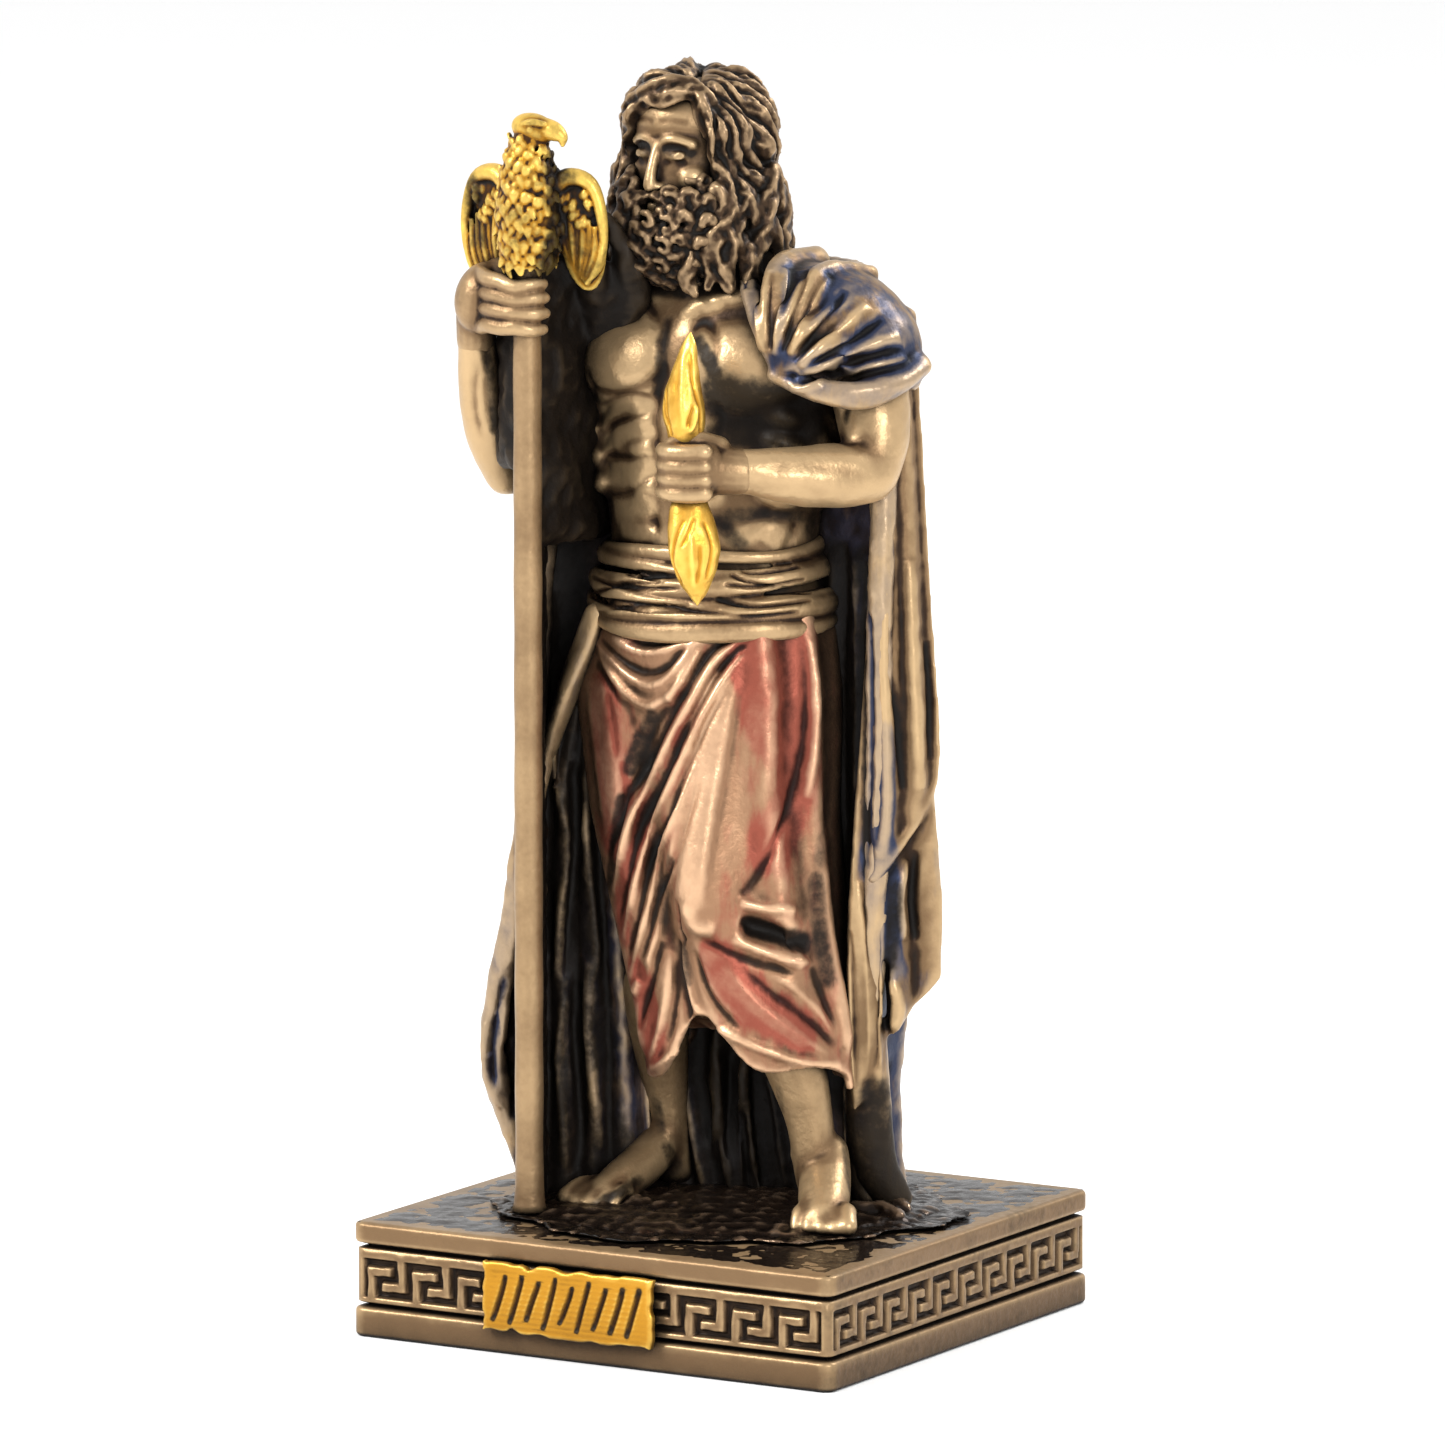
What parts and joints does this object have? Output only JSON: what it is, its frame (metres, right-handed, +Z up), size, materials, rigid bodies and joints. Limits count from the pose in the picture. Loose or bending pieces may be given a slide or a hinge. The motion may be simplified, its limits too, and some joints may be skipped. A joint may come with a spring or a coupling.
{
  "type": "zeus statue",
  "caption": "Bearded, half-draped god standing on a square plinth, with an eagle-topped staff in one hand and a thunderbolt in the other, for display.",
  "frame": {"origin": "middle of the plinth's underside, on the surface it stands on", "axes": "+Z up the figure; the figure and the plaque face -Y; +X is the figure's left hand side"},
  "size_m": [0.038, 0.0369, 0.0873],
  "materials": {
    "cast_bronze": "antique bronze paint over cast resin, rubbed bright on the ridges and near black in the hollows",
    "cloak_blue": "slate blue dry-brushed over bronze",
    "skirt_red": "brick red dry-brushed over bronze",
    "gilding": "bright gold paint with a dark wash in the hollows",
    "plinth_bronze": "antique bronze paint, satin",
    "plinth_top": "dark glossy wash over rough soil",
    "nameplate_gold": "gold paint with fine brush marks"
  },
  "bodies": {
    "root": {"figure": "cast_bronze", "plinth": "plinth_bronze", "nameplate": "nameplate_gold"}
  },
  "joints": []
}
